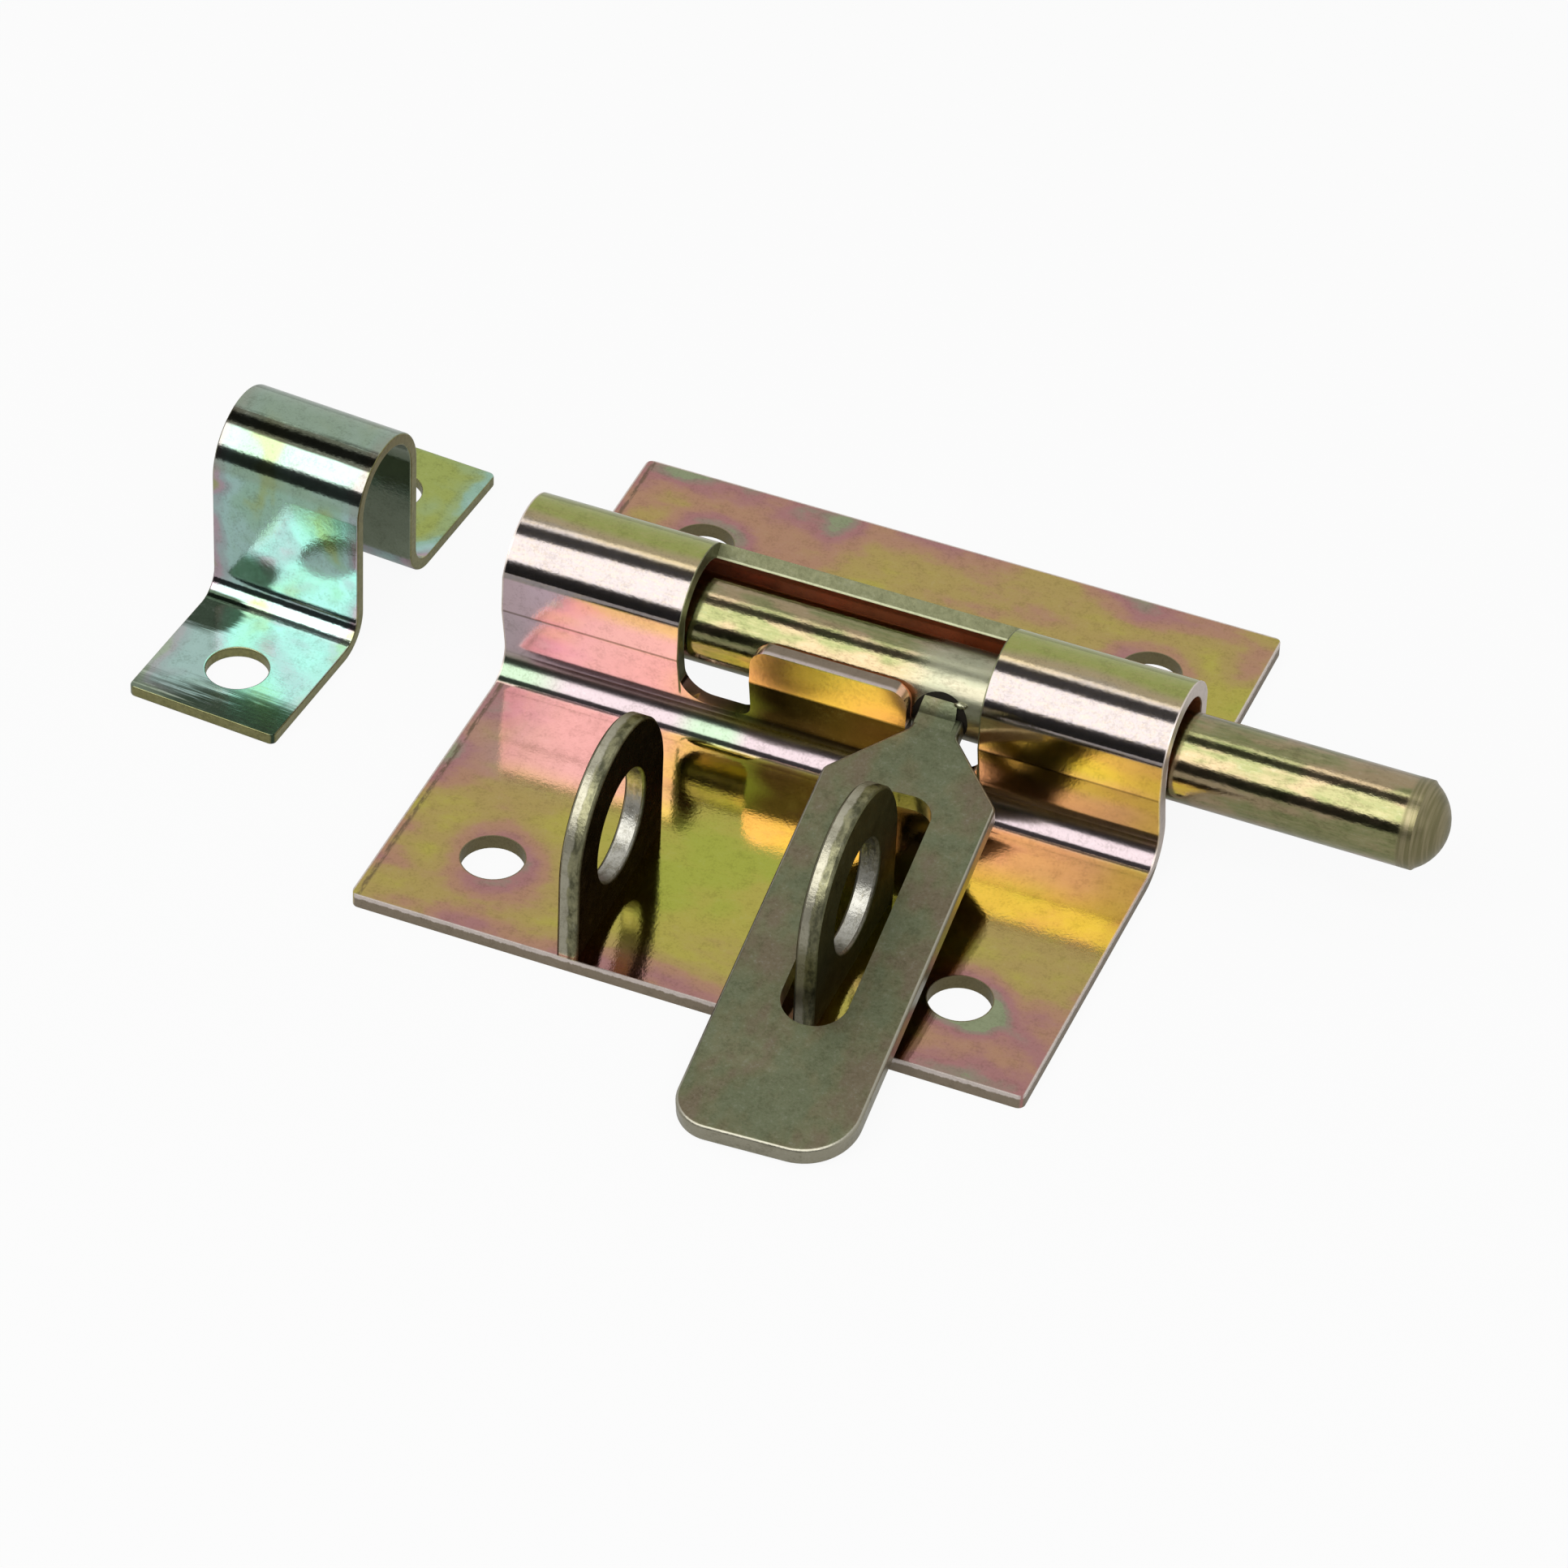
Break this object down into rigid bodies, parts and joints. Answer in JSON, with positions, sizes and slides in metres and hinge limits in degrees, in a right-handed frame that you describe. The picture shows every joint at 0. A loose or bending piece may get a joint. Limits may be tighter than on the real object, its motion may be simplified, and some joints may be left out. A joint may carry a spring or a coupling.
{
  "type": "padbolt",
  "caption": "Padlockable barrel bolt on a pressed plate, with a slotted hasp handle, staples to lock it open or shut, and a separate strap keep.",
  "frame": {"origin": "middle of the plate's four screw holes, on the plate's underside", "axes": "+X along the bolt towards its tip, +Y away from the handle, +Z out of the plate"},
  "size_m": [0.1494, 0.1043, 0.025],
  "materials": {
    "plate_zinc": "bright yellow chromated zinc, iridescent",
    "staple_zinc": "yellow chromated zinc with worn rims",
    "rod_zinc": "yellow chromated zinc on drawn bar",
    "handle_zinc": "dull yellow chromated zinc on sheared strip",
    "keep_zinc": "bright yellow chromated zinc, iridescent"
  },
  "bodies": {
    "plate": {"back_plate": "plate_zinc", "left_staple": "staple_zinc", "right_staple": "staple_zinc", "keep": "keep_zinc"},
    "bolt": {"bolt_rod": "rod_zinc"},
    "hasp": {"handle": "handle_zinc"}
  },
  "joints": [
    {"name": "bolt_slide", "type": "slide", "parent": "plate", "child": "bolt", "axis": [1, 0, 0], "range_m": [-0.0004, 0.0009]},
    {"name": "handle_lift", "type": "hinge", "parent": "bolt", "child": "hasp", "pos_m": [0.01265, 0.0062, 0.0125], "axis": [-1, 0, 0], "range_deg": [0, 118]}
  ]
}
